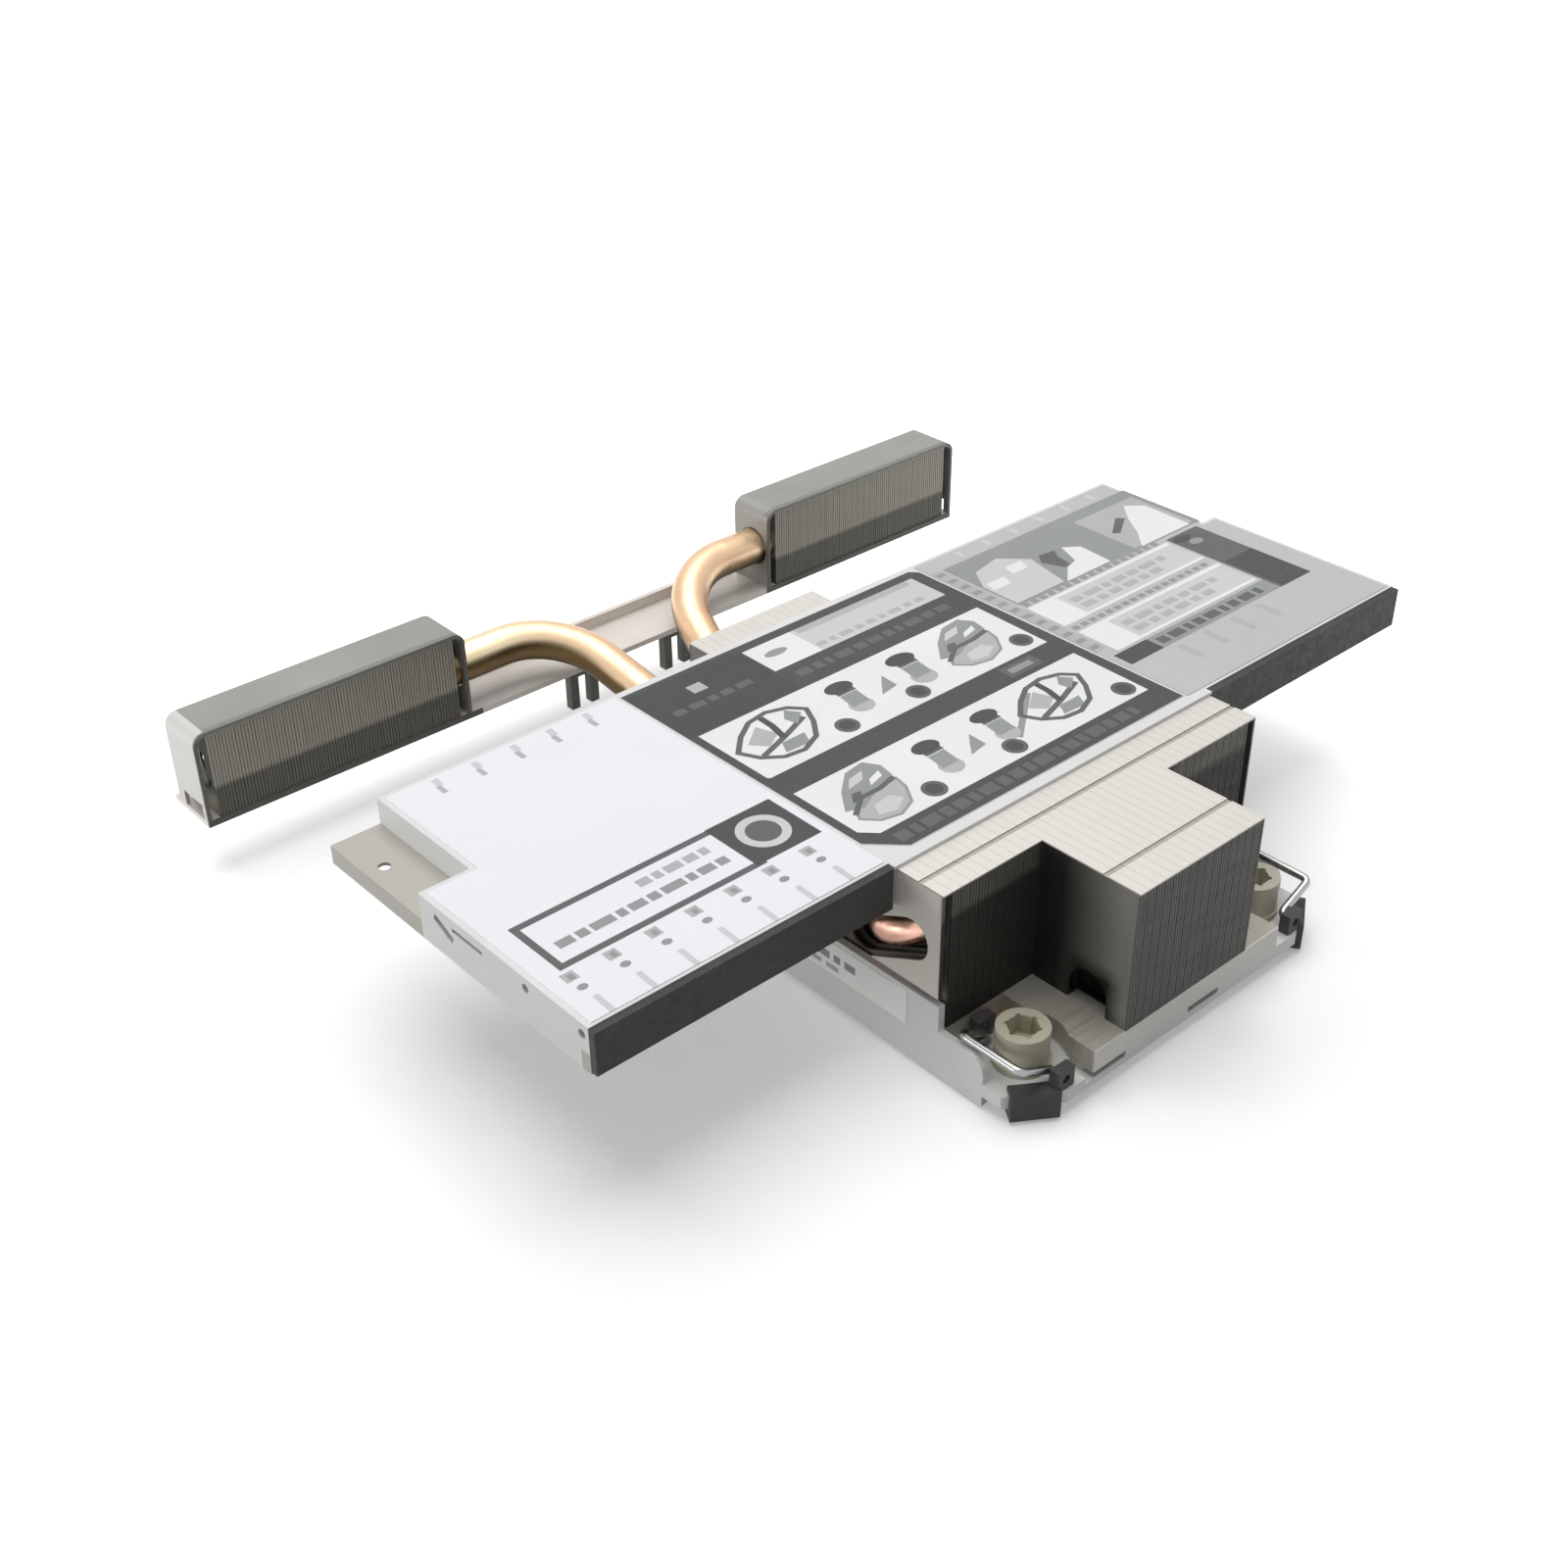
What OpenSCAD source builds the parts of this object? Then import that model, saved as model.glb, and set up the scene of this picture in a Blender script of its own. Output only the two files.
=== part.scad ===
// Low server heatsink: a comb of upright fins on a copper cold plate, a wide
// sheet cover that reaches over both sides, and two remote fin stacks at the
// back fed by bent heat pipes. Origin: middle of the contact face under the
// cold plate. X runs along the cover, Y to the back, Z up.

/* [Main fin stack] */
// width of the fin stack across the airflow
stack_w = 78; // [74:1:80]
// length of the full-width part along the airflow
stack_d = 68; // [64:1:70]
// width of the middle block that reaches past the full-width part
tongue_w = 32; // [30:1:34]
// how far the middle block reaches past it, front and back
tongue_d = 20; // [19:1:22]
// height of the fin tops above the contact face
fins_top = 36.4; // [34:0.2:40]
// number of upright fins
fin_count = 39; // [28:1:40]
// thickness of a fin sheet
fin_t = 0.5; // [0.4:0.1:0.6]
// width of the crosswise groove in the folded tops
groove_w = 1; // [0.6:0.2:1.6]

/* [Base] */
// width of the copper contact block
cold_w = 52; // [46:1:54]
// length of the copper contact block
cold_d = 72; // [66:1:74]
// thickness of the copper contact block
cold_t = 5; // [4.6:0.2:5.4]
// thickness of the plate under the fins
base_t = 4.3; // [4:0.1:4.8]
// thickness of the mounting frame
frame_t = 2.5; // [2:0.1:3]
// thickness of the upright side walls of the frame
wall_t = 1.4; // [1:0.1:1.5]
// height of the top edge of the side walls
wall_top = 14.5; // [13:0.5:15]

/* [Captive nuts and wire bails] */
// distance from the side of the fin stack in to the nuts
nut_in = 9; // [8.8:0.1:9.5]
// distance from the end of the full-width part out to the nuts
nut_out = 10; // [9.9:0.1:10.2]
// radius of the plastic nut head
nut_r = 4.5; // [4:0.1:4.7]
// height of the nut top above the contact face
nut_top = 12; // [11:0.2:12.2]
// radius of the threaded hole in the nut sleeve
thread_r = 1.6; // [1.3:0.1:1.8]
// radius of the bail wire
wire_r = 0.75; // [0.6:0.05:0.8]
// distance from the bail pivot to its outer run
bail_reach = 8.4; // [8.2:0.1:8.6]
// how far the bail stands up from flat at rest, in degrees
bail_rest = 26; // [26:1:40]

/* [Heat pipes] */
// outside radius of the two long heat pipes
pipe_r = 4; // [3:0.25:4]
// half the distance between the two long pipes in the base
pipe_x = 6.5; // [6:0.25:7.5]
// height at which the long pipes enter the remote stacks
pipe_rise = 22; // [21:0.25:22.5]
// radius of the bends in the long pipes
pipe_bend = 18; // [14:1:19]
// outside radius of the side loop pipes
loop_r = 3; // [2:0.25:3]
// distance between the two legs of a side loop
loop_span = 14.1; // [13:0.1:15]
// tilt of a side loop, in degrees
loop_tilt = 26; // [20:1:30]

/* [Remote stacks and bar] */
// distance from the middle of the main stack to the remote stacks
remote_y = 100; // [98:1:108]
// width of one remote stack
remote_w = 58; // [52:0.5:62]
// depth of one remote stack
remote_d = 11; // [10:0.5:13]
// height of the underside of the rear bar
bar_z = 12; // [10:0.5:13]
// thickness of the rear bar
bar_t = 1.2; // [0.8:0.1:1.6]
// height of the remote stack tops
remote_top = 31.5; // [30.5:0.5:34]
// number of fins in one remote stack
remote_fins = 28; // [20:1:30]

/* [Cover plate] */
// full width of the cover plate
cover_w = 196; // [185:1:205]
// distance from the middle to the front edge of the cover
cover_front = 24; // [22:0.5:27]
// distance from the middle to the back edge of the cover
cover_back = 47.5; // [46:0.5:50]
// thickness of the cover sheet
cover_t = 0.6; // [0.5:0.1:1.2]
// how far the folded ends of the cover hang down
flange_h = 8.5; // [7:0.5:10]
// height of the dark strips along the front of the wings
skirt_h = 7.8; // [6:0.2:9]
// thickness of the dark strips
skirt_t = 1.4; // [1:0.1:2]
// width of the sunk rear corner at the left end
sunk_w_left = 9.5; // [7:0.5:12]
// width of the sunk rear corner at the right end
sunk_w_right = 4; // [3.5:0.5:8]
// length of the sunk rear corners
sunk_d = 27; // [20:1:32]
// depth of the sunk rear corners
sunk_h = 5; // [3:0.5:5.5]

/* [Hidden] */

$fn = 48;
// thin gap between parts that only rest near each other
near_gap = 0.3;
// radial room round a soldered pipe
pipe_gap = 0.05;
// radial room for a part that turns
run_gap = 0.05;
// room round the cold plate in its opening
cold_gap = 0.2;

frame_top = cold_t;
frame_bottom = frame_top - frame_t;
fin_bottom = frame_top + base_t;
half_w = stack_w / 2;
half_d = stack_d / 2;
full_half_d = half_d + tongue_d;
nut_x = half_w - nut_in;
nut_y = half_d + nut_out;
corner_x = 9;
corner_y = 6;
tongue_shift = -1;
fin_pitch = (stack_w - fin_t) / (fin_count - 1);
fold_t = 0.4;
seam = 0.04;
groove_deep = 0.2;
groove_in = 5;
tongue_groove_in = 7;
ledge_x = 24;
bite_r = 7.5;
outer_fin_lift = 1.5;
wall_foot = 0.5;
wall_low_top = fin_bottom + 0.1;
wall_low_reach = 10;
wall_round = 3;

pipe_z = frame_top + base_t / 2;
pipe_start = -20;
joint_bead = 0.03;
pipe_knee_y = full_half_d + 13;
pipe_corner_x = 15;
remote_half = cover_w / 2 - 0.5;
remote_shift = -1;
remote_in = remote_half - remote_w;
pipe_end = remote_half - 4.5;

loop_mid_y = 13 - half_d;
loop_mid_z = 21.5;
loop_in = 12;
loop_back = 0.6;
window_gap = 0.8;
loop_out = half_w - loop_back - loop_r;
loop_bend = loop_span / 2 - 0.05;

arch_r = 4;
arch_y = full_half_d - 8.4;
arch_z = 12.5;
arch_in = 14;

bar_top = bar_z + bar_t;
shell_t = 0.8;
shell_round = 2.5;
lip_h = 2.5;
bar_back = 2;

cover_top = fins_top + cover_t;
cover_half = cover_w / 2;
sunk_front = cover_back - sunk_d;
shelf_top = cover_top - sunk_h;
skirt_in = half_w + 0.8;
label_t = 0.15;

nut_seat = frame_top + 0.1;
sleeve_r = 2.9;
sleeve_hole_r = sleeve_r + 0.2;
sleeve_foot = 0.9;
ring_t = 0.6;
ring_r = 4.2;
ring_groove = 0.4;
recess_r = 2.6;
recess_depth = 3.6;
pivot_z = 7;
arm_y = 6.3;
ear_in = 7.5;
ear_t = 2;
ear_half = 1.9;
tip_y = 9;

foot_x = 12.5;
foot_w = 7;
foot_d = 6;
foot_h = 8.5;
foot_leg = 2;
foot_pad = 1.2;
side_label_in = 7;
side_label_low = 7;

function unit(v) = v / norm(v);
function corner_angle(a, b) = acos(max(-1, min(1, a * b)));

// turn the local Z axis to direction d and the local X axis towards side n
module aim(d, n) {
    tilt = acos(d[2]);
    turn = (abs(d[0]) + abs(d[1]) < 1e-9) ? 0 : atan2(d[1], d[0]);
    ex = [cos(tilt) * cos(turn), cos(tilt) * sin(turn), -sin(tilt)];
    ey = [-sin(turn), cos(turn), 0];
    rotate([0, tilt, turn]) rotate([0, 0, atan2(n * ey, n * ex)]) children();
}

// arc of tube that starts at the origin along Z and bends towards X
module arc_tube(bend, angle, r) {
    translate([bend, 0, 0]) rotate([90, 0, 180])
        rotate_extrude(angle = angle) translate([bend, 0]) circle(r = r);
}

// round tube along straight runs with a bend at each inner corner, and a
// slightly fuller ring at each joint of a slanted path
module tube_path(p, bend, r, bead = 0) {
    last = len(p) - 1;
    for (i = [0 : last - 1]) {
        d = unit(p[i + 1] - p[i]);
        before = (i == 0) ? d : unit(p[i] - p[i - 1]);
        after = (i == last - 1) ? d : unit(p[i + 2] - p[i + 1]);
        cut_a = bend * tan(corner_angle(before, d) / 2);
        cut_b = bend * tan(corner_angle(d, after) / 2);
        run = norm(p[i + 1] - p[i]) - cut_a - cut_b;
        n = (abs(d[2]) > 0.9) ? [1, 0, 0] : [0, 0, 1];
        translate(p[i] + d * cut_a) aim(d, n) cylinder(r = r, h = run);
        if (bead > 0 && i > 0) translate(p[i] + d * cut_a) sphere(r = r + bead);
        if (bead > 0 && i < last - 1) translate(p[i + 1] - d * cut_b) sphere(r = r + bead);
        if (i < last - 1)
            translate(p[i + 1] - d * cut_b)
                aim(d, unit(after - d * (after * d))) arc_tube(bend, corner_angle(d, after), r);
    }
}

// box from its low corner to its high corner
module block(a, b) {
    translate(a) cube(b - a);
}

// the same shape at the four nuts
module at_nuts() {
    for (sx = [-1, 1], sy = [-1, 1]) translate([sx * nut_x, sy * nut_y, 0]) children();
}

// middle line of a long pipe, for the side s
function long_path(s) = [
    [s * pipe_x, pipe_start, pipe_z],
    [s * pipe_x, pipe_knee_y, pipe_z],
    [s * pipe_corner_x, remote_y - 0.5, pipe_rise],
    [s * pipe_end, remote_y - 0.5, pipe_rise]];

// side loop pipe of the right side, laid out flat and then tilted
module loop_pipe() {
    s = loop_span / 2;
    translate([0, loop_mid_y, loop_mid_z]) rotate([-loop_tilt, 0, 0])
        tube_path([[loop_in, s, 0], [loop_out, s, 0], [loop_out, -s, 0], [loop_in, -s, 0]],
            loop_bend, loop_r);
}

// room for the long pipes where they lie in the base
module long_pipe_room() {
    for (s = [-1, 1])
        translate([s * pipe_x, pipe_start - 0.5, pipe_z]) rotate([-90, 0, 0])
            cylinder(r = pipe_r + pipe_gap, h = full_half_d - pipe_start + 5);
}

// copper block that touches the processor
module cold_plate() {
    color([0.76, 0.46, 0.30]) difference() {
        block([-cold_w / 2, -cold_d / 2, 0], [cold_w / 2, cold_d / 2, cold_t]);
        long_pipe_room();
    }
}

// plate that carries the fins, bitten away round the nuts
module base_plate() {
    inner = half_w - wall_t - near_gap;
    color([0.72, 0.71, 0.68]) difference() {
        union() {
            block([-inner, -half_d, frame_top], [inner, half_d, fin_bottom]);
            block([-ledge_x, -full_half_d, frame_top], [ledge_x, full_half_d, fin_bottom]);
        }
        at_nuts() translate([0, 0, frame_top - 1]) cylinder(r = bite_r, h = base_t + 2);
        long_pipe_room();
    }
}

// side wall of the frame, lower and rounded at both ends
module side_wall() {
    low = half_d + wall_low_reach;
    translate([-half_w, 0, 0]) rotate([90, 0, 90]) linear_extrude(height = wall_t) {
        translate([-half_d, wall_foot]) square([stack_d, wall_top - wall_foot]);
        translate([-low + wall_round, wall_foot])
            square([2 * (low - wall_round), wall_low_top - wall_foot]);
        translate([-low, wall_foot])
            square([2 * low, wall_low_top - wall_foot - wall_round]);
        for (s = [-1, 1]) translate([s * (low - wall_round), wall_low_top - wall_round])
            circle(r = wall_round);
    }
}

// mounting frame with side walls, nut holes and slots sunk in its front and back edges
module frame() {
    slot_w = 8;
    slot_d = 2.5;
    slot_h = 1.2;
    hole_w = cold_w / 2 + cold_gap;
    hole_d = cold_d / 2 + cold_gap;
    color([0.78, 0.78, 0.77]) difference() {
        union() {
            block([-half_w, -full_half_d, frame_bottom], [half_w, full_half_d, frame_top]);
            side_wall();
            mirror([1, 0, 0]) side_wall();
        }
        for (sx = [0, 1], sy = [0, 1]) mirror([sx, 0, 0]) mirror([0, sy, 0])
            translate([half_w, full_half_d, frame_bottom - 1]) linear_extrude(height = frame_t + 2)
                polygon([[-corner_x, 0], [1, -corner_y - 1 * corner_y / corner_x],
                    [1, 1], [-corner_x, 1]]);
        block([-hole_w, -hole_d, frame_bottom - 1], [hole_w, hole_d, frame_top + 1]);
        at_nuts() translate([0, 0, frame_bottom - 1]) cylinder(r = sleeve_hole_r, h = frame_t + 2);
        for (s = [-1, 1]) {
            for (x = [-ledge_x, 0]) translate([x, s * full_half_d - slot_d, frame_top - slot_h])
                cube([slot_w, 2 * slot_d, slot_h + 1]);
            translate([-ledge_x - 1.8, s * full_half_d - 2 * slot_d, frame_top - slot_h])
                cube([2.3, 4 * slot_d, slot_h + 1]);
        }
        long_pipe_room();
    }
}

// room of the shallow crosswise grooves pressed into the folded tops
module groove_room(x) {
    for (y = [half_d - groove_in, full_half_d - tongue_groove_in], s = [-1, 1])
        block([x - 1, s * y - groove_w / 2, fins_top - groove_deep],
            [x + fin_pitch + 1, s * y + groove_w / 2, fins_top + 1]);
}

// one upright fin with folded top and foot
module fin(i) {
    x = -half_w + i * fin_pitch;
    mid = x + fin_t / 2;
    in_tongue = abs(mid - tongue_shift) < tongue_w / 2;
    next_in = abs(mid + fin_pitch - tongue_shift) < tongue_w / 2;
    reach = in_tongue ? full_half_d : half_d;
    fold_reach = next_in ? reach : half_d;
    outer = abs(mid) > half_w - wall_t - near_gap - fin_t;
    foot = outer ? wall_top + outer_fin_lift : fin_bottom;
    last = i == fin_count - 1;
    far = max(abs(x), abs(x + fin_pitch));
    near = min(abs(x), abs(x + fin_pitch));
    difference() {
        union() {
            block([x, -reach, foot], [x + fin_t, reach, fins_top]);
            if (!last) {
                block([x, -fold_reach, fins_top - fold_t], [x + fin_pitch - seam, fold_reach, fins_top]);
                if (!outer && far < half_w - wall_t - near_gap)
                    block([x, -fold_reach, foot], [x + fin_pitch - seam, fold_reach, foot + fold_t]);
            }
        }
        groove_room(x);
        if (near < pipe_x + pipe_r + 1) long_pipe_room();
        if (far > loop_in - 1) loop_room(far > loop_out - loop_bend - loop_r - 1);
        if (in_tongue && far > arch_in) arch_room();
    }
}

// holes for the loop legs, or the open window near the outer fins
module loop_room(window) {
    r = window ? loop_r + window_gap : loop_r + pipe_gap;
    h = loop_span / 2;
    for (s = [0, 1]) mirror([s, 0, 0])
        translate([loop_in - 1, loop_mid_y, loop_mid_z]) rotate([-loop_tilt, 0, 0]) {
            for (y = [-h, h]) translate([0, y, 0]) rotate([0, 90, 0]) cylinder(r = r, h = half_w);
            if (window) translate([0, -h, -r]) cube([half_w, loop_span, 2 * r]);
        }
}

// arched openings low in the sides of the middle block
module arch_room() {
    for (sx = [0, 1], sy = [0, 1]) mirror([sx, 0, 0]) mirror([0, sy, 0]) {
        translate([arch_in, arch_y, arch_z]) rotate([0, 90, 0]) cylinder(r = arch_r, h = tongue_w);
        block([arch_in, arch_y - arch_r, fin_bottom - 1],
            [arch_in + tongue_w, arch_y + arch_r, arch_z]);
    }
}

// comb of separate upright fins
module main_fins() {
    color([0.62, 0.60, 0.56]) for (i = [0 : fin_count - 1]) fin(i);
}

// long heat pipe of the side s
module long_pipe(s) {
    mirror([1, 0, 0]) tube_path(long_path(-s), pipe_bend, pipe_r, joint_bead);
}

module long_pipe_left() {
    color([0.85, 0.60, 0.40]) long_pipe(-1);
}

module long_pipe_right() {
    color([0.85, 0.60, 0.40]) long_pipe(1);
}

module loop_pipe_left() {
    color([0.85, 0.60, 0.40]) mirror([1, 0, 0]) loop_pipe();
}

module loop_pipe_right() {
    color([0.85, 0.60, 0.40]) loop_pipe();
}

// fins of the right remote stack
module remote_comb() {
    first = remote_in + shell_t + 1.8;
    span = remote_w - 2 * (shell_t + 1.8) - fin_t;
    pitch = span / (remote_fins - 1);
    top = remote_top - shell_t - 0.05;
    half = remote_d / 2 - near_gap;
    for (i = [0 : remote_fins - 1]) difference() {
        x = first + i * pitch;
        union() {
            block([x, remote_y - half, bar_top], [x + fin_t, remote_y + half, top]);
            if (i < remote_fins - 1)
                block([x, remote_y - half, top - fold_t], [x + pitch - seam, remote_y + half, top]);
        }
        translate([remote_in, remote_y - 0.5, pipe_rise]) rotate([0, 90, 0])
            cylinder(r = pipe_r + pipe_gap, h = remote_w);
    }
}

module remote_fins_left() {
    color([0.36, 0.35, 0.31]) translate([remote_shift, 0, 0]) mirror([1, 0, 0]) remote_comb();
}

module remote_fins_right() {
    color([0.36, 0.35, 0.31]) translate([remote_shift, 0, 0]) remote_comb();
}

// bent sheet over the right remote stack, seen from the front
module shell_outline(w, h, r) {
    square([w, h - r]);
    translate([r, 0]) square([w - 2 * r, h]);
    for (x = [r, w - r]) translate([x, h - r]) circle(r = r);
}

module remote_shell() {
    h = remote_top - bar_top;
    notch_w = 7;
    notch_h = 3.2;
    difference() {
        translate([remote_in, remote_y + remote_d / 2, bar_top]) rotate([90, 0, 0])
            linear_extrude(height = remote_d) difference() {
                shell_outline(remote_w, h, shell_round);
                translate([shell_t, -1])
                    shell_outline(remote_w - 2 * shell_t, h - shell_t + 1, shell_round - shell_t);
            }
        translate([remote_in - 1, remote_y - 0.5, pipe_rise]) rotate([0, 90, 0])
            cylinder(r = pipe_r + 0.3, h = 5);
        block([remote_half - 3, remote_y - remote_d / 2 + 1.5, bar_top - 1],
            [remote_half + 1, remote_y - remote_d / 2 + 1.5 + notch_w, bar_top + notch_h]);
    }
}

module remote_shell_left() {
    color([0.69, 0.68, 0.65]) translate([remote_shift, 0, 0]) mirror([1, 0, 0]) remote_shell();
}

module remote_shell_right() {
    color([0.69, 0.68, 0.65]) translate([remote_shift, 0, 0]) remote_shell();
}

// strap under both remote stacks with a low lip at the back
module rear_bar() {
    front = remote_y - remote_d / 2;
    back = remote_y + remote_d / 2 + bar_back;
    color([0.70, 0.69, 0.67]) translate([remote_shift, 0, 0]) {
        block([-remote_half, front, bar_z], [remote_half, back, bar_top]);
        block([-remote_in + near_gap, back - bar_t, bar_z], [remote_in - near_gap, back, bar_top + lip_h]);
    }
}

// small forked feet under the rear bar
module bar_feet() {
    y = remote_y - remote_d / 2 + 0.5;
    color([0.26, 0.26, 0.24]) for (s = [-1, 1]) translate([s * foot_x, y, bar_z]) {
        block([-foot_w / 2, 0, -foot_pad], [foot_w / 2, foot_d, 0]);
        block([-foot_w / 2, 0, -foot_h], [-foot_w / 2 + foot_leg, foot_leg, 0]);
        block([foot_w / 2 - foot_leg, 0, -foot_h], [foot_w / 2, foot_leg, 0]);
    }
}

// one folded end of the cover with its sunk rear corner, right-hand side
module cover_end(sunk_w) {
    wall = 1.2;
    bottom = cover_top - flange_h;
    x_in = cover_half - sunk_w;
    slot_y = 14;
    slot_z = cover_top - 3.2;
    hole_z = cover_top - 2;
    difference() {
        union() {
            block([cover_half - wall, -cover_front + skirt_t, bottom], [cover_half, cover_back, shelf_top]);
            block([cover_half - wall, -cover_front + skirt_t, bottom], [cover_half, sunk_front, cover_top]);
            block([x_in - 1, sunk_front - wall, shelf_top - cover_t], [cover_half, cover_back, shelf_top]);
            block([x_in - 1, sunk_front - wall, shelf_top - cover_t], [x_in, cover_back, cover_top]);
            block([x_in - 1, sunk_front - wall, shelf_top - cover_t], [cover_half, sunk_front, cover_top]);
        }
        translate([cover_half - 3, slot_y, slot_z]) rotate([25, 0, 0])
            translate([0, -2.6, -0.7]) cube([5, 5.2, 1.4]);
        block([cover_half - 3, 3.5, cover_top - 2.4], [cover_half + 1, 11.5, cover_top - 1.7]);
        for (y = [-7.4, -21]) translate([cover_half - 3, y, hole_z]) rotate([0, 90, 0])
            cylinder(r = 0.8, h = 5);
    }
}

// wide cover sheet with folded ends
module cover_plate() {
    color([0.93, 0.93, 0.93]) difference() {
        union() {
            difference() {
                block([-cover_half, -cover_front, fins_top], [cover_half, cover_back, cover_top]);
                for (s = [0, 1]) mirror([s, 0, 0])
                    block([skirt_in - 0.2, -cover_front - 1, fins_top - 1],
                        [cover_half + 1, -cover_front + skirt_t, cover_top + 1]);
                block([-cover_half - 1, sunk_front, fins_top - 1],
                    [-cover_half + sunk_w_left, cover_back + 1, cover_top + 1]);
                block([cover_half - sunk_w_right, sunk_front, fins_top - 1],
                    [cover_half + 1, cover_back + 1, cover_top + 1]);
            }
            cover_end(sunk_w_right);
            mirror([1, 0, 0]) cover_end(sunk_w_left);
        }
        translate([-cover_half + 3.4, cover_back - 11, shelf_top - 2]) cylinder(r = 1.1, h = 4);
    }
}

// dark strip in front of one wing of the cover
module skirt() {
    block([skirt_in, -cover_front, cover_top - 0.2 - skirt_h],
        [cover_half, -cover_front + skirt_t, cover_top - 0.2]);
}

module skirt_left() {
    color([0.16, 0.16, 0.15]) mirror([1, 0, 0]) skirt();
}

module skirt_right() {
    color([0.16, 0.16, 0.15]) skirt();
}

// thin printed sheet over the middle of the cover
module label_middle() {
    left = -half_w - 0.3;
    right = half_w - 4.5;
    front = 2.4 - cover_front;
    back = cover_back - 1.7;
    c = 5.5;
    d = 1.5;
    color([0.86, 0.87, 0.88]) translate([0, 0, cover_top]) linear_extrude(height = label_t)
        polygon([[left + c, front], [right, front], [right, back - d],
            [right - d, back], [left, back], [left, front + c]]);
}

// thin printed sheet over the left wing
module label_left() {
    in = cover_half - sunk_w_left - 1;
    in_x = half_w + 1;
    color([0.93, 0.93, 0.96]) translate([0, 0, cover_top]) linear_extrude(height = label_t)
        polygon([[-cover_half + 1, -cover_front + 2], [-in_x, -cover_front + 2], [-in_x, cover_back - 1],
            [-in, cover_back - 1], [-in, sunk_front - 1], [-cover_half + 1, sunk_front - 1]]);
}

// thin printed sheet over the right wing
module label_right() {
    in = cover_half - sunk_w_right - 1;
    in_x = half_w - 3.8;
    color([0.80, 0.81, 0.82]) translate([0, 0, cover_top]) linear_extrude(height = label_t)
        polygon([[in_x, -cover_front + 2], [cover_half - 1, -cover_front + 2],
            [cover_half - 1, sunk_front - 1], [in, sunk_front - 1], [in, cover_back - 1],
            [in_x, cover_back - 1]]);
}

// printed strip on the left side wall
module side_label() {
    end = half_d - side_label_in;
    color([0.88, 0.86, 0.80])
        block([-half_w - label_t, -end, side_label_low], [-half_w, end, wall_top - 1]);
}

// plastic seats that hold the bail ends, hooked round the cut corner of the frame
module retainers() {
    edge = full_half_d - nut_y;
    under = 0.6;
    half = 4.1;
    cut = atan2(corner_y, corner_x);
    color([0.12, 0.12, 0.12]) for (sx = [0, 1], sy = [0, 1])
        mirror([sx, 0, 0]) mirror([0, sy, 0]) translate([nut_x, nut_y, 0]) difference() {
            union() {
                for (s = [0, 1]) mirror([0, s, 0])
                    block([-ear_half, ear_in, frame_top], [ear_half, ear_in + ear_t, pivot_z + 1.8]);
                translate([nut_in - corner_x / 2, edge - corner_y / 2, 0]) rotate([0, 0, -cut]) {
                    block([-half, -1.6, frame_top], [half, 1.2, frame_top + 0.9]);
                    block([-half, 0.05, under], [half, 1.2, frame_top + 0.9]);
                    block([-half, -2.6, under], [half, 1.2, frame_bottom]);
                }
            }
            translate([0, -12, pivot_z]) rotate([-90, 0, 0])
                cylinder(r = wire_r + run_gap, h = 24);
        }
}

// captive plastic nut with a six-lobed recess, turned about its own axis
module nut() {
    flange_r = nut_r + 0.4;
    color([0.60, 0.58, 0.46]) difference() {
        union() {
            translate([0, 0, nut_seat]) cylinder(r = flange_r, h = 1);
            translate([0, 0, nut_seat]) cylinder(r = nut_r, h = nut_top - nut_seat);
        }
        translate([0, 0, nut_top - recess_depth]) {
            cylinder(r = recess_r, h = recess_depth + 1);
            for (a = [0 : 60 : 300]) rotate([0, 0, a]) translate([recess_r, 0, 0])
                cylinder(r = 0.5, h = recess_depth + 1);
        }
        translate([0, 0, nut_seat - 1]) cylinder(r = sleeve_r, h = sleeve_up() - nut_seat + 1);
    }
}

function sleeve_up() = nut_top - recess_depth - 0.9;

// threaded metal sleeve pressed into the nut
module sleeve() {
    color([0.70, 0.70, 0.70]) difference() {
        translate([0, 0, sleeve_foot]) cylinder(r = sleeve_r, h = sleeve_up() - sleeve_foot);
        translate([0, 0, sleeve_foot - 1]) cylinder(r = thread_r, h = sleeve_up() - sleeve_foot);
        translate([0, 0, frame_bottom - 0.1 - ring_t]) difference() {
            cylinder(r = sleeve_r + 1, h = ring_t);
            translate([0, 0, -1]) cylinder(r = sleeve_r - ring_groove, h = ring_t + 2);
        }
    }
}

// open spring ring that keeps the nut in the frame
module ring() {
    color([0.35, 0.35, 0.36]) translate([0, 0, frame_bottom - 0.1 - ring_t + 0.05])
        difference() {
            cylinder(r = ring_r, h = ring_t - 0.1);
            translate([0, 0, -1]) cylinder(r = sleeve_r - ring_groove, h = ring_t + 2);
            translate([0, -1.2, -1]) cube([ring_r + 1, 2.4, ring_t + 2]);
        }
}

// wire loop that swings over the nut, for a nut on the right-hand side
module bail() {
    knee = 1.2;
    color([0.62, 0.62, 0.62]) translate([0, 0, pivot_z]) rotate([0, -bail_rest, 0])
        tube_path([[0, -tip_y, 0], [0, -arm_y, 0], [bail_reach, -arm_y, 0],
            [bail_reach, arm_y, 0], [0, arm_y, 0], [0, tip_y, 0]], knee, wire_r);
}

module place(sx, sy) {
    translate([sx * nut_x, sy * nut_y, 0]) mirror([sx < 0 ? 1 : 0, 0, 0]) children();
}

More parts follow.
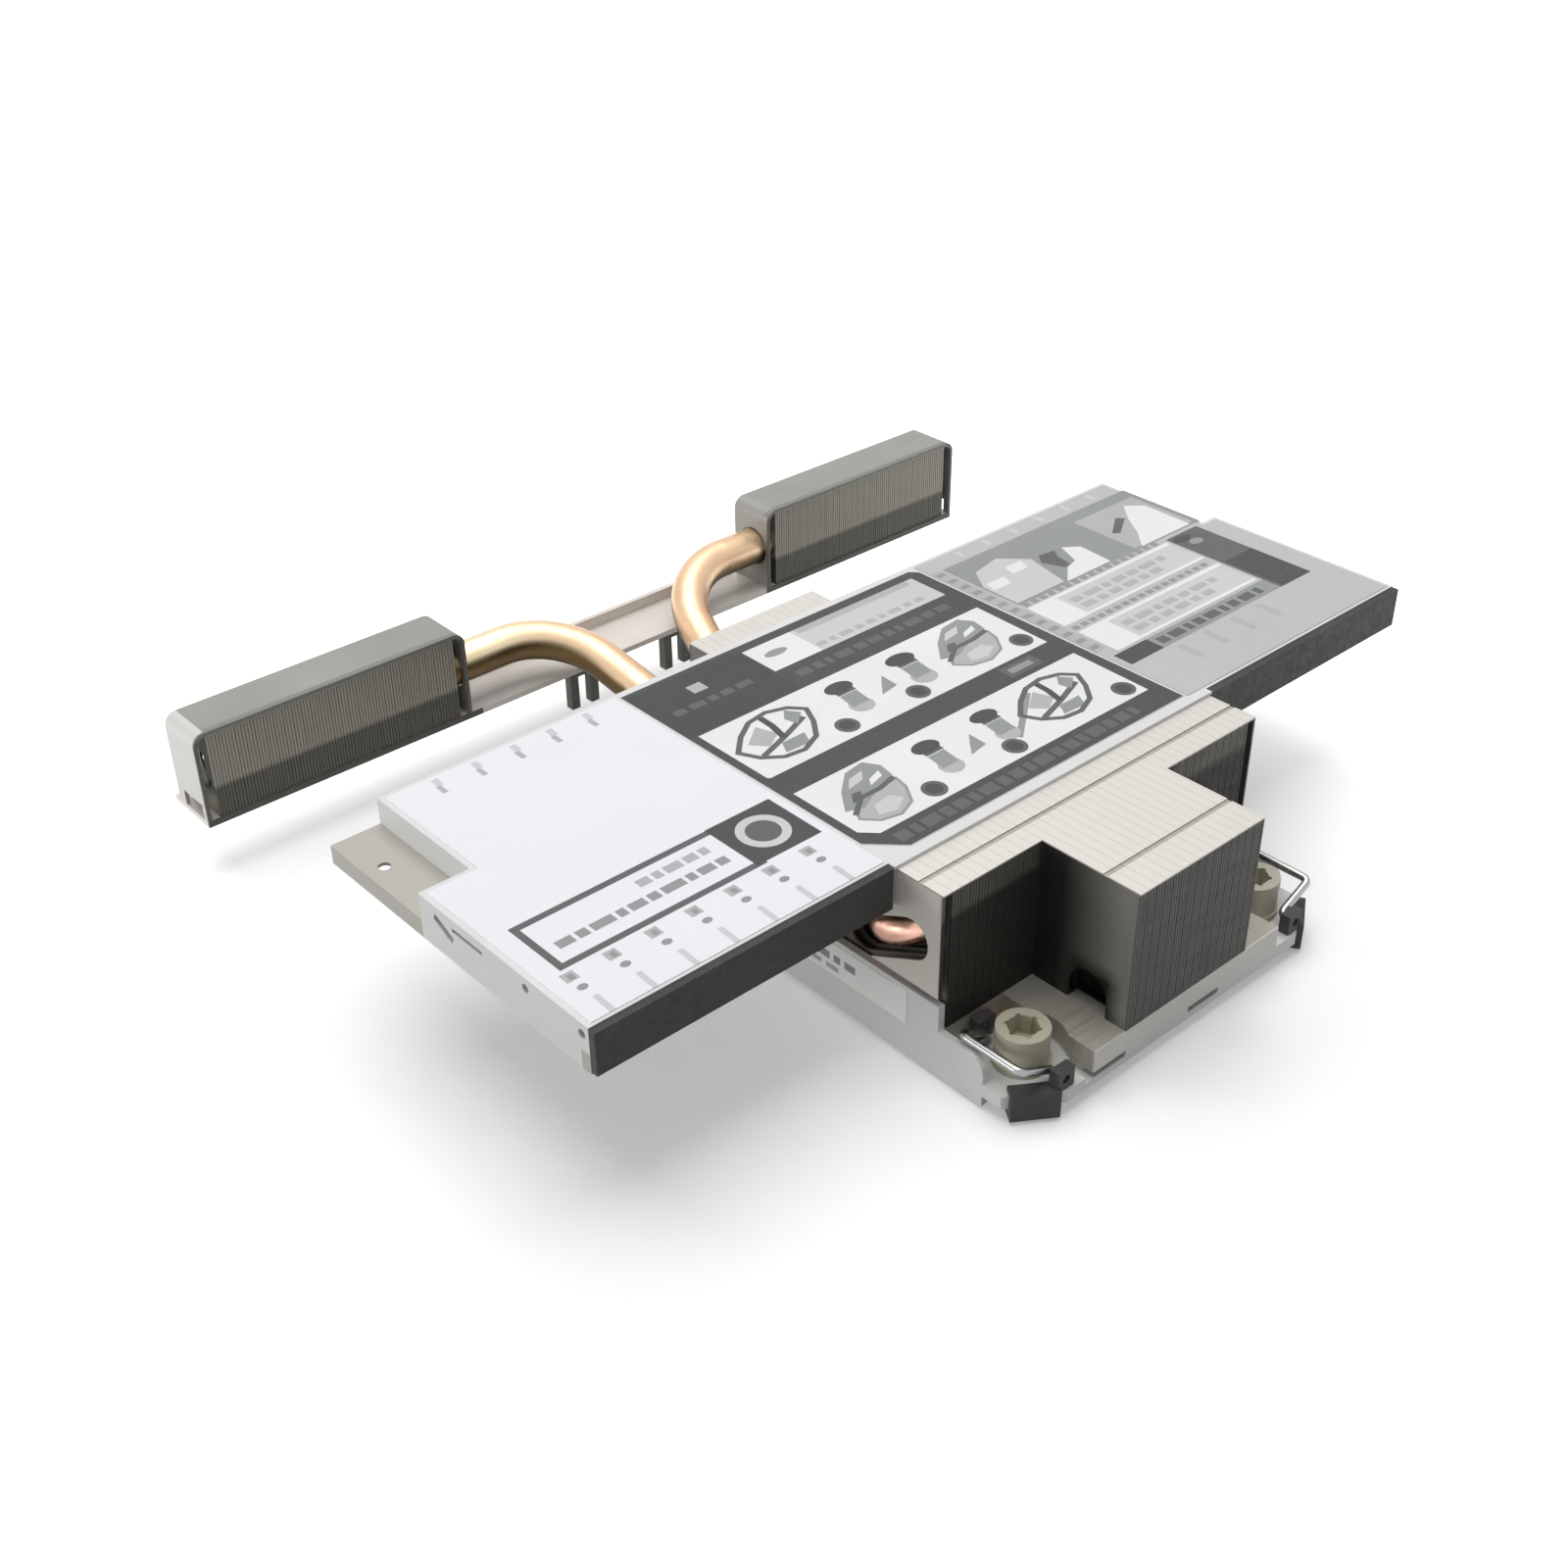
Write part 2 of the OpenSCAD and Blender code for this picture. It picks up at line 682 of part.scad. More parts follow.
cold_plate();
base_plate();
frame();
main_fins();
long_pipe_left();
long_pipe_right();
loop_pipe_left();
loop_pipe_right();
remote_fins_left();
remote_fins_right();
remote_shell_left();
remote_shell_right();
rear_bar();
bar_feet();
cover_plate();
skirt_left();
skirt_right();
label_middle();
label_left();
label_right();
side_label();
retainers();
place(-1, -1) nut();  // nut_front_left
place(1, -1) nut();  // nut_front_right
place(-1, 1) nut();  // nut_back_left
place(1, 1) nut();  // nut_back_right
place(-1, -1) sleeve();  // sleeve_front_left
place(1, -1) sleeve();  // sleeve_front_right
place(-1, 1) sleeve();  // sleeve_back_left
place(1, 1) sleeve();  // sleeve_back_right
place(-1, -1) ring();  // ring_front_left
place(1, -1) ring();  // ring_front_right
place(-1, 1) ring();  // ring_back_left
place(1, 1) ring();  // ring_back_right
place(-1, -1) bail();  // bail_front_left
place(1, -1) bail();  // bail_front_right
place(-1, 1) bail();  // bail_back_left
place(1, 1) bail();  // bail_back_right
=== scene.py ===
"""Looks for the low server heatsink: camera, soft light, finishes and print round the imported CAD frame.

The scene is in metres in the row frame. Zones, sheet ends and the print's outlines are written in
millimetres.
The films on the cover get flat marks that lie a few hundredths of a millimetre over them, and the
fin combs get the ends of the finer sheets that stand between the CAD fins.
"""

import math

import bmesh
import bpy
import numpy as np
from mathutils import Matrix, Vector


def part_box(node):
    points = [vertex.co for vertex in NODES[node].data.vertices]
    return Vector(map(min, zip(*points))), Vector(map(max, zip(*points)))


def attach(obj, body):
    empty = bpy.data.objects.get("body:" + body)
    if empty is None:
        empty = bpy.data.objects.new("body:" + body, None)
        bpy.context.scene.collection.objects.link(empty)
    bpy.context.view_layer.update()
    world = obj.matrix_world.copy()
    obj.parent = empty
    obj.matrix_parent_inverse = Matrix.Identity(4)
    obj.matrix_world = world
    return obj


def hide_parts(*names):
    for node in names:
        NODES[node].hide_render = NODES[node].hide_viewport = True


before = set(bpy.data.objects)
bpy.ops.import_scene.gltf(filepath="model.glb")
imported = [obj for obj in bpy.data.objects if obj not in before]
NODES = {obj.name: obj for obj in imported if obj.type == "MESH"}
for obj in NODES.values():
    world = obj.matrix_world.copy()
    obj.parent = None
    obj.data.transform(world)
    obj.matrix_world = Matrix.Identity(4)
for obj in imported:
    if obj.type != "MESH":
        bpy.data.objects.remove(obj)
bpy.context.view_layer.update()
MM = 0.001


# Materials

def new_group(name, inputs, outputs):
    """Empty shader group with the named sockets, and its node, link and end nodes."""
    g = bpy.data.node_groups.new(name, "ShaderNodeTree")
    for socket, kind, value in inputs:
        s = g.interface.new_socket(socket, in_out="INPUT", socket_type="NodeSocket" + kind)
        s.default_value = value
    for socket in outputs:
        g.interface.new_socket(socket, in_out="OUTPUT", socket_type="NodeSocketFloat")
    return g, g.nodes, g.links.new, g.nodes.new("NodeGroupInput"), g.nodes.new("NodeGroupOutput")


def wear_group():
    """Shared effect: soft blotches, fine grain and long streaks from object coordinates."""
    g, n, link, inp, out = new_group(
        "surface_wear", (("Scale", "Float", 1.0), ("Stretch", "Vector", (1, 1, 1))),
        ("Blotch", "Grain", "Streak"))
    coord = n.new("ShaderNodeTexCoord")
    size, pull = n.new("ShaderNodeVectorMath"), n.new("ShaderNodeVectorMath")
    size.operation, pull.operation = "SCALE", "MULTIPLY"
    link(coord.outputs["Object"], size.inputs[0])
    link(inp.outputs["Scale"], size.inputs["Scale"])
    link(size.outputs[0], pull.inputs[0])
    link(inp.outputs["Stretch"], pull.inputs[1])
    for name, scale, detail, source in (
        ("Blotch", 45, 3, size), ("Grain", 2200, 2, size), ("Streak", 900, 3, pull),
    ):
        noise = n.new("ShaderNodeTexNoise")
        noise.inputs["Scale"].default_value = scale
        noise.inputs["Detail"].default_value = detail
        link(source.outputs[0], noise.inputs["Vector"])
        link(noise.outputs["Fac"], out.inputs[name])
    return g


def zone_group():
    """Shared effect: 1 inside a box of (|x|, |y|, |z|) in object coordinates, fading over 1 / Sharp
    at its walls."""
    g, n, link, inp, out = new_group(
        "zone_box", (("Low", "Vector", (0, 0, 0)), ("High", "Vector", (1, 1, 1)), ("Sharp", "Float", 5000.0)),
        ("Mask",))
    coord = n.new("ShaderNodeTexCoord")

    def step(operation, a, b=None):
        m = n.new("ShaderNodeVectorMath")
        m.operation = operation
        for socket, value in zip((m.inputs[0], m.inputs[1]), (a, b)):
            if isinstance(value, tuple):
                socket.default_value = value
            elif value is not None:
                link(value, socket)
        return m.outputs[0]

    place = step("ABSOLUTE", coord.outputs["Object"])
    parts = []
    for a, b in ((place, inp.outputs["Low"]), (inp.outputs["High"], place)):
        scaled = n.new("ShaderNodeVectorMath")
        scaled.operation = "SCALE"
        link(step("SUBTRACT", a, b), scaled.inputs[0])
        link(inp.outputs["Sharp"], scaled.inputs["Scale"])
        inside = step("ADD", scaled.outputs[0], (0.5, 0.5, 0.5))
        parts.append(step("MINIMUM", step("MAXIMUM", inside, (0, 0, 0)), (1, 1, 1)))
    xyz = n.new("ShaderNodeSeparateXYZ")
    link(step("MULTIPLY", *parts), xyz.inputs[0])
    last = xyz.outputs["X"]
    for axis in "YZ":
        m = n.new("ShaderNodeMath")
        m.operation = "MULTIPLY"
        link(last, m.inputs[0])
        link(xyz.outputs[axis], m.inputs[1])
        last = m.outputs[0]
    link(last, out.inputs["Mask"])
    return g


WEAR = wear_group()
ZONE = zone_group()
NOISE_LOW, NOISE_HIGH = 0.3, 0.7
GRAIN_DEPTH = 0.2 * MM
ROUGH_SPREAD = 0.08


def lay_over(n, link, colour, tone, amount):
    """The tone mixed over a colour by an amount from 0 to 1."""
    over = n.new("ShaderNodeMix")
    over.data_type = "RGBA"
    over.inputs["B"].default_value = (*tone, 1)
    link(amount, over.inputs["Factor"])
    link(colour, over.inputs["A"])
    return over.outputs["Result"]


def finish_of(name, light, dark, rough, metal=0.0, scale=1.0, stretch=(1, 1, 1), mask="Blotch",
              bump=0.0, specular=0.5, zones=(), underside_shade=None):
    """Principled material: its colour runs between two tones along a wear mask, and each zone
    (low corner, high corner, fade in mm, colour, strength) lays its own colour over a box.
    A painted shade on the lower side, where its colour is given, is laid on by the piece's own attribute
    under."""
    m = bpy.data.materials.new(name)
    m.use_nodes = True
    n, link = m.node_tree.nodes, m.node_tree.links.new
    p = n["Principled BSDF"]
    wear = n.new("ShaderNodeGroup")
    wear.node_tree = WEAR
    wear.inputs["Scale"].default_value = scale
    wear.inputs["Stretch"].default_value = stretch
    ramp = n.new("ShaderNodeMapRange")
    ramp.inputs["From Min"].default_value = NOISE_LOW
    ramp.inputs["From Max"].default_value = NOISE_HIGH
    link(wear.outputs[mask], ramp.inputs["Value"])
    mix = n.new("ShaderNodeMix")
    mix.data_type = "RGBA"
    mix.inputs["A"].default_value = (*dark, 1)
    mix.inputs["B"].default_value = (*light, 1)
    link(ramp.outputs[0], mix.inputs["Factor"])
    colour = mix.outputs["Result"]
    for low, high, fade, tone, strength in zones:
        z = n.new("ShaderNodeGroup")
        z.node_tree = ZONE
        z.inputs["Low"].default_value = [v * MM for v in low]
        z.inputs["High"].default_value = [v * MM for v in high]
        z.inputs["Sharp"].default_value = 1 / (fade * MM)
        amount = n.new("ShaderNodeMath")
        amount.operation = "MULTIPLY"
        amount.inputs[1].default_value = strength
        link(z.outputs["Mask"], amount.inputs[0])
        colour = lay_over(n, link, colour, tone, amount.outputs[0])
    # Painted shade on the lower side, from the attribute under.
    if underside_shade:
        under = n.new("ShaderNodeAttribute")
        under.attribute_name = "under"
        colour = lay_over(n, link, colour, underside_shade, under.outputs["Fac"])
    link(colour, p.inputs["Base Color"])
    polish = n.new("ShaderNodeMapRange")
    polish.inputs["From Min"].default_value = NOISE_LOW
    polish.inputs["From Max"].default_value = NOISE_HIGH
    polish.inputs["To Min"].default_value = rough - ROUGH_SPREAD
    polish.inputs["To Max"].default_value = rough + ROUGH_SPREAD
    link(wear.outputs["Streak"], polish.inputs["Value"])
    link(polish.outputs[0], p.inputs["Roughness"])
    p.inputs["Metallic"].default_value = metal
    p.inputs["Specular IOR Level"].default_value = specular
    if bump:
        b = n.new("ShaderNodeBump")
        b.inputs["Strength"].default_value = bump
        b.inputs["Distance"].default_value = GRAIN_DEPTH
        link(wear.outputs["Grain"], b.inputs["Height"])
        link(b.outputs[0], p.inputs["Normal"])
    return m


def paint(node, material):
    """The material on every slot of a CAD node."""
    mesh = NODES[node].data
    mesh.materials.clear()
    mesh.materials.append(material)


FAR = 500
ALONG_X = (0.2, 4, 1)
ALONG_Z = (6, 1, 0.1)
EVEN = (1, 1, 1)
# Painted shade: the fin sheet is dark in its body, between the fins, and on the tongue's sides, and darker
# still on the front ends, which face away from the light; its top and outer faces keep a light metal tone.
FIN = finish_of(
    "fin_sheet", (0.18, 0.175, 0.16), (0.13, 0.126, 0.115), 0.5, 0.4, 1, ALONG_X, "Streak", specular=0.15,
    zones=(
        ((38.85, 0, 0), (FAR, FAR, FAR), 0.1, (0.62, 0.59, 0.54), 1),
        # Painted shade on the tongue's sides, darker than the outer faces.
        ((8, 34, 0), (25, 60, FAR), 0.4, (0.21, 0.205, 0.185), 1),
        # Painted shadow: the tongue's sides darken towards the corner of the notch, where the stack casts its
        # shade, in all four notches.
        ((8, 20, 0), (25, 45.0, FAR), 12, (0.018, 0.017, 0.015), 0.97),
        # Painted shade: a near-black patch low on the tongue's sides, between 41.5 and 51 mm out.
        ((8, 41.5, 4), (25, 51.0, 18.0), 3.5, (0.010, 0.010, 0.008), 1),
        # Painted shade on the front ends of the stacks; the next zone lays a lighter band along their top.
        ((15, 33.7, 0), (FAR, 34.2, FAR), 0.2, (0.040, 0.039, 0.034), 1),
        ((17, 33.7, 31.5), (FAR, 34.2, FAR), 1.5, (0.23, 0.225, 0.20), 1),
        # Painted shade on the front ends of the tongue.
        ((0, 53.7, 0), (17.2, 54.2, FAR), 0.2, (0.105, 0.107, 0.10), 1),
        ((0, 0, 36.1), (FAR, FAR, FAR), 0.1, (0.40, 0.375, 0.33), 1),
        ((0, 0, 36.3), (FAR, FAR, FAR), 0.05, (0.625, 0.60, 0.555), 1),
    ))
FIN_DARK = finish_of(
    "fin_sheet_dark", (0.37, 0.36, 0.305), (0.29, 0.28, 0.235), 0.5, 0.3, 1, ALONG_Z, "Streak", zones=(
        # Painted shade: the remote fins are darker below 19.5 mm.
        ((0, 0, 0), (FAR, FAR, 19.5), 1.0, (0.11, 0.105, 0.08), 1),
    ))
SHELL = finish_of(
    "shell_sheet", (0.32, 0.315, 0.29), (0.265, 0.26, 0.24), 0.5, 0.3, 1, EVEN, "Blotch", zones=(
        # Painted shade on the front faces of the remote shells; the next zone lays a lighter band along their
        # top edge.
        ((0, 94.0, 0), (FAR, 94.75, FAR), 0.1, (0.12, 0.115, 0.095), 1),
        ((0, 94.0, 30.2), (FAR, 95.8, FAR), 0.5, (0.20, 0.195, 0.17), 1),
        ((96.0, 95.0, 0), (FAR, FAR, FAR), 0.2, (0.56, 0.55, 0.53), 1),
    ))
BASE = finish_of(
    "base_plate_metal", (0.46, 0.44, 0.38), (0.36, 0.345, 0.29), 0.45, 0.3, 1, ALONG_X, "Streak", zones=(
        ((0, 53.7, 0), (FAR, FAR, FAR), 0.2, (0.60, 0.585, 0.55), 1),
    ))
FRAME = finish_of("frame_cast", (0.70, 0.70, 0.69), (0.62, 0.62, 0.60), 0.5, 0.2, 1, EVEN, "Blotch", 0.1)
COPPER = finish_of("copper_plate", (0.80, 0.45, 0.28), (0.68, 0.36, 0.20), 0.3, 1.0, 1, ALONG_X, "Streak")
PIPE = finish_of(
    "pipe_copper", (0.80, 0.66, 0.44), (0.72, 0.44, 0.28), 0.4, 0.9, 0.6, EVEN, "Blotch", zones=(
        # Painted shade where the long pipes run into the remote stacks.
        ((41, 80, 0), (FAR, FAR, FAR), 3, (0.14, 0.09, 0.05), 1),
    ), underside_shade=(0.13, 0.085, 0.035))
LOOP = finish_of("loop_copper", (0.95, 0.60, 0.47), (0.86, 0.48, 0.36), 0.3, 1.0, 0.6, EVEN, "Blotch")
BAR = finish_of(
    "bar_sheet", (0.74, 0.69, 0.64), (0.66, 0.61, 0.56), 0.45, 0.2, 1, ALONG_X, "Streak", zones=(
        # Painted shade on the bar's front edge under the remote stacks.
        ((38.0, 94.0, 0), (FAR, 94.8, FAR), 0.2, (0.07, 0.067, 0.055), 1),
    ))
FOOT = finish_of("foot_plastic", (0.16, 0.165, 0.14), (0.11, 0.115, 0.10), 0.6, 0, 1)
WHITE = finish_of("cover_paint", (0.70, 0.70, 0.69), (0.66, 0.66, 0.65), 0.5, 0, 1, bump=0.02, zones=(
    # Painted shade: the recessed back corners of the cover and all below 32 mm there are darker.
    ((87.5, 20.5, 0), (FAR, FAR, 32.05), 0.1, (0.42, 0.405, 0.36), 1),
))
STRIP = finish_of("strip_black", (0.05, 0.05, 0.046), (0.032, 0.032, 0.03), 0.6, 0, 1, specular=0.3)
FILM_GREY = finish_of("film_grey", (0.51, 0.51, 0.52), (0.48, 0.48, 0.49), 0.5, 0, 1, specular=0.2)
FILM_WHITE = finish_of("film_white", (0.80, 0.80, 0.83), (0.78, 0.78, 0.81), 0.5, 0, 1, specular=0.2)
FILM_MIDDLE = finish_of("film_middle", (0.80, 0.81, 0.80), (0.78, 0.79, 0.78), 0.5, 0, 1, specular=0.2)
FILM_CREAM = finish_of("film_cream", (0.88, 0.88, 0.85), (0.84, 0.84, 0.81), 0.45, 0, 1)
CLIP = finish_of("clip_black", (0.075, 0.068, 0.075), (0.045, 0.042, 0.045), 0.5, 0, 1, specular=0.3)
NUT = finish_of("nut_plastic", (0.50, 0.48, 0.37), (0.42, 0.40, 0.29), 0.5, 0, 1)
STEEL = finish_of("plated_steel", (0.55, 0.55, 0.55), (0.45, 0.45, 0.45), 0.3, 1.0, 1)
WIRE = finish_of("drawn_wire", (0.46, 0.46, 0.45), (0.30, 0.30, 0.30), 0.3, 1.0, 1)

for node in NODES:
    for start, material in (
        ("cold_plate", COPPER), ("base_plate", BASE), ("frame", FRAME), ("main_fins", FIN),
        ("long_pipe", PIPE), ("loop_pipe", LOOP), ("remote_fins", FIN_DARK),
        ("remote_shell", SHELL), ("rear_bar", BAR), ("bar_feet", FOOT), ("cover_plate", WHITE),
        ("skirt", STRIP), ("label_middle", FILM_MIDDLE), ("label_left", FILM_WHITE),
        ("label_right", FILM_GREY), ("side_label", FILM_CREAM), ("retainers", CLIP),
        ("nut_", NUT), ("sleeve_", STEEL), ("ring_", STEEL), ("bail_", WIRE),
    ):
        if node.startswith(start):
            paint(node, material)


# Pipes

# Fade of the painted shade on the pipes' lower side, in the height of the normal.
UNDERSIDE_SHADE_FADE = 0.3
SAME_POINT = 0.001 * MM


def pipe_skin(node, level):
    """Smooth copy of a CAD pipe with its doubles merged. Its attribute under is (level - height of
    the normal) over the fade, held between 0 and 1, so that the lower side takes a painted shade."""
    mesh = NODES[node].data.copy()
    mesh.name = node + "_skin"
    work = bmesh.new()
    work.from_mesh(mesh)
    bmesh.ops.remove_doubles(work, verts=work.verts, dist=SAME_POINT)
    work.to_mesh(mesh)
    work.free()
    mesh.shade_smooth()
    up = np.empty(3 * len(mesh.vertices))
    mesh.vertex_normals.foreach_get("vector", up)
    under = np.clip((level - up.reshape(-1, 3)[:, 2]) / UNDERSIDE_SHADE_FADE, 0, 1)
    mesh.attributes.new("under", "FLOAT", "POINT").data.foreach_set("value", under.astype(np.float32))
    o = bpy.data.objects.new(node + "_skin", mesh)
    bpy.context.scene.collection.objects.link(o)
    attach(o, "block")
    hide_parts(node)


# Painted shade on the lower side of both long pipes, reaching higher on the left pipe.
pipe_skin("long_pipe_left", 0.5)
pipe_skin("long_pipe_right", 0.2)


# Fin ends

def sheets(name, xs, y0, y1, z0, z1, thick, material):
    """Upright sheets as closed boxes: every x of xs takes the eight corners (x +- thick / 2) by
    (y0, y1) by (z0, z1), computed as one array of sheets by corners."""
    xs = np.asarray(xs, float)
    corner = np.array([(i, j, k) for i in (0, 1) for j in (0, 1) for k in (0, 1)], float)
    place = np.empty((len(xs), 8, 3))
    place[:, :, 0] = xs[:, None] + (corner[None, :, 0] - 0.5) * thick
    place[:, :, 1] = y0 + (y1 - y0) * corner[:, 1]
    place[:, :, 2] = z0 + (z1 - z0) * corner[:, 2]
    quads = np.array([(0, 1, 3, 2), (4, 6, 7, 5), (0, 4, 5, 1), (2, 3, 7, 6), (0, 2, 6, 4), (1, 5, 7, 3)])
    faces = (quads[None] + 8 * np.arange(len(xs))[:, None, None]).reshape(-1, 4)
    mesh = bpy.data.meshes.new(name)
    mesh.from_pydata((place.reshape(-1, 3) * MM).tolist(), [], faces.tolist())
    mesh.materials.append(material)
    o = bpy.data.objects.new(name, mesh)
    bpy.context.scene.collection.objects.link(o)
    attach(o, "block")
    return o


FIN_COUNT, REMOTE_FIN_COUNT = 39, 28
FIN_THICK = 0.5
END_THICK, REMOTE_END_THICK = 0.56, 0.52
STACK_END, TONGUE_END = 34, 54
STACK_DEEP, TONGUE_DEEP, REMOTE_DEEP = 1.9, 3.5, 4.0
END_FOOT, END_TOP = 9.75, 35.98
TONGUE_LEFT, TONGUE_RIGHT = -17, 15
OUTER_GAP = 37
BEHIND_FACE = 0.03
REMOTE_FOOT_IN, REMOTE_TOP_IN = 0.05, 0.45
THIRDS = np.array([1, 2]) / 3


def fin_ends():
    """Ends of the finer sheets: two thin sheets stand in each gap between neighbouring CAD fins, at
    a third and two thirds of the pitch, at the four ends of the main comb and through both remote
    stacks."""
    low, high = (np.array(c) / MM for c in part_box("main_fins"))
    pitch = (high[0] - low[0] - FIN_THICK) / (FIN_COUNT - 1)
    fin = low[0] + FIN_THICK / 2 + np.arange(FIN_COUNT - 1) * pitch
    tongue = (fin > TONGUE_LEFT) & (fin + pitch < TONGUE_RIGHT)
    stack = (np.abs(fin + pitch / 2) < OUTER_GAP) & ~tongue
    for side, word in ((-1, "front"), (1, "back")):
        for part, keep, end, deep in (
            ("stack", stack, STACK_END, STACK_DEEP), ("tongue", tongue, TONGUE_END, TONGUE_DEEP),
        ):
            xs = np.concatenate([fin[keep] + pitch * share for share in THIRDS])
            y0, y1 = sorted((side * (end - BEHIND_FACE), side * (end - deep)))
            sheets("fin_ends_%s_%s" % (part, word), xs, y0, y1, END_FOOT, END_TOP, END_THICK, FIN)
    for side in ("left", "right"):
        low, high = (np.array(c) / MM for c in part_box("remote_fins_" + side))
        pitch = (high[0] - low[0] - FIN_THICK) / (REMOTE_FIN_COUNT - 1)
        xs = low[0] + FIN_THICK / 2 + (np.arange(REMOTE_FIN_COUNT - 1)[:, None] + THIRDS).ravel() * pitch
        y0, y1 = low[1] + BEHIND_FACE, low[1] + REMOTE_DEEP
        z0, z1 = low[2] + REMOTE_FOOT_IN, high[2] - REMOTE_TOP_IN
        sheets("remote_fin_ends_" + side, xs, y0, y1, z0, z1, REMOTE_END_THICK, FIN_DARK)


fin_ends()


# Print

def rect(x0, x1, y0, y1, lean=0.0):
    """Outline of a rectangle whose upper edge is moved by lean along X."""
    return np.array([(x0, y0), (x1, y0), (x1 + lean, y1), (x0 + lean, y1)], float)


def disc(x, y, rx, ry=None, count=28):
    """Outline of an ellipse: centre plus (rx cos t, ry sin t)."""
    t = np.linspace(0, 2 * math.pi, count, endpoint=False)
    return np.stack([rx * np.cos(t), (ry or rx) * np.sin(t)], 1) + (x, y)


def line(points, width, closed=False):
    """Quads of a stroke with mitred corners: every point of the path is moved both ways along
    (n1 + n2) / (1 + n1 . n2) by half the width, where n1 and n2 are the normals of its two runs."""
    p = np.asarray(points, float)
    run = (np.roll(p, -1, 0) - p) if closed else np.diff(p, axis=0)
    run /= np.linalg.norm(run, axis=1, keepdims=True)
    side = np.stack([-run[:, 1], run[:, 0]], 1)
    before, after = (np.roll(side, 1, 0), side) if closed else (
        np.vstack([side[:1], side]), np.vstack([side, side[-1:]]))
    shift = (before + after) / (1 + np.sum(before * after, 1, keepdims=True)) * width / 2
    a, b = p + shift, p - shift
    if closed:
        a, b = np.vstack([a, a[:1]]), np.vstack([b, b[:1]])
    return list(np.stack([b[:-1], b[1:], a[1:], a[:-1]], 1))


def bars(x0, x1, y0, y1, widths, gap):
    """Row of small bars: their left edges are the running sums of the widths and gaps, which
    repeat until x1."""
    count = int((x1 - x0) / (np.mean(widths) + gap)) + 1
    wide = np.resize(np.asarray(widths, float), count)
    left = x0 + np.concatenate([[0], np.cumsum(wide + gap)[:-1]])
    keep = left + wide <= x1 + 1e-6
    return [rect(a, a + w, y0, y1) for a, w in zip(left[keep], wide[keep])]


LAYER, LIFT = 0.012, 0.02
INK_DARKER = 0.93
INKS = {}
for ink, tone in (
    ("dark", (0.068, 0.072, 0.072)), ("deep", (0.058, 0.060, 0.062)), ("mid", (0.12, 0.125, 0.125)),
    ("grey", (0.30, 0.31, 0.31)), ("soft", (0.45, 0.455, 0.455)), ("pale", (0.60, 0.60, 0.61)),
    ("paper", (0.80, 0.81, 0.805)),
):
    INKS[ink] = finish_of("ink_" + ink, tone, tuple(INK_DARKER * v for v in tone), 0.5, 0, 1, specular=0.2)
INK_NAMES = list(INKS)


def print_on(name, marks, film):
    """Flat marks over a film: every outline of marks (ink, layer, outline in mm) becomes one face
    LIFT over the film plus LAYER for each layer, wound so that it faces up."""
    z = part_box(film)[1][2] / MM + LIFT
    flat = [np.column_stack([p, np.full(len(p), z + LAYER * layer)]) for _, layer, p in marks]
    ends = np.cumsum([len(p) for p in flat])
    faces = [np.arange(e - len(p), e).tolist() for e, p in zip(ends, flat)]
    area = [np.sum(p[:, 0] * np.roll(p[:, 1], -1) - np.roll(p[:, 0], -1) * p[:, 1]) for p in flat]
    faces = [f if a > 0 else f[::-1] for f, a in zip(faces, area)]
    mesh = bpy.data.meshes.new(name)
    mesh.from_pydata((np.vstack(flat) * MM).tolist(), [], faces)
    for ink in INK_NAMES:
        mesh.materials.append(INKS[ink])
    mesh.polygons.foreach_set("material_index", [INK_NAMES.index(ink) for ink, _, _ in marks])
    mesh.update()
    o = bpy.data.objects.new(name, mesh)
    bpy.context.scene.collection.objects.link(o)
    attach(o, "block")


def sheet_from_above(x0, x1, y0, y1):
    """Sign of a flat part seen at a slant: a rounded outline with two spokes and three plates, in
    shares u, v of the box."""
    def at(*uv):
        return np.array(uv, float) * (x1 - x0, y1 - y0) + (x0, y0)

    edge = at((0.0, 0.50), (0.20, 0.76), (0.42, 0.95), (0.66, 1.0), (0.88, 0.90), (1.0, 0.72), (0.90, 0.44),
              (0.74, 0.16), (0.50, 0.02), (0.28, 0.06), (0.10, 0.24))
    marks = [("mid", 4, p) for p in line(edge, 1.0, True)]
    marks += [("dark", 6, p) for p in line(at((0.56, 0.94), (0.55, 0.70), (0.50, 0.40)), 1.3)]
    marks += [("mid", 5, p) for p in line(at((0.14, 0.24), (0.50, 0.40), (0.88, 0.60)), 1.1)]
    marks += [("soft", 3, at((0.16, 0.56), (0.42, 0.82), (0.50, 0.52), (0.30, 0.36)))]
    marks += [("grey", 3, at((0.34, 0.12), (0.62, 0.10), (0.70, 0.32), (0.42, 0.32)))]
    marks += [("grey", 6, at((0.76, 0.52), (0.92, 0.70), (0.82, 0.88), (0.72, 0.72)))]
    return marks


def head_on_block(x0, x1, y0, y1, arrow):
    """Sign of a screw head over a block: a dark rounded head, a grey block below and an arrow
    wedge beside it."""
    w, h = x1 - x0, y1 - y0
    marks = [("dark", 5, disc(x0 + 0.44 * w, y0 + 0.80 * h, 0.42 * w, 0.16 * h)),
             ("mid", 4, rect(x0 + 0.16 * w, x0 + 0.74 * w, y0 + 0.60 * h, y0 + 0.80 * h)),
             ("grey", 4, rect(x0 + 0.08 * w, x0 + 0.62 * w, y0 + 0.22 * h, y0 + 0.58 * h, 0.08 * w)),
             ("soft", 3, disc(x0 + 0.32 * w, y0 + 0.20 * h, 0.34 * w, 0.20 * h))]
    if arrow:
        marks.append(("grey", 4, np.array([(x1 + 0.2, y0 + 0.20 * h), (x1 + 4.4, y0 + 0.26 * h),
                                           (x1 + 4.6, y0 + 0.62 * h), (x1 + 2.4, y0 + 0.42 * h)])))
    return marks


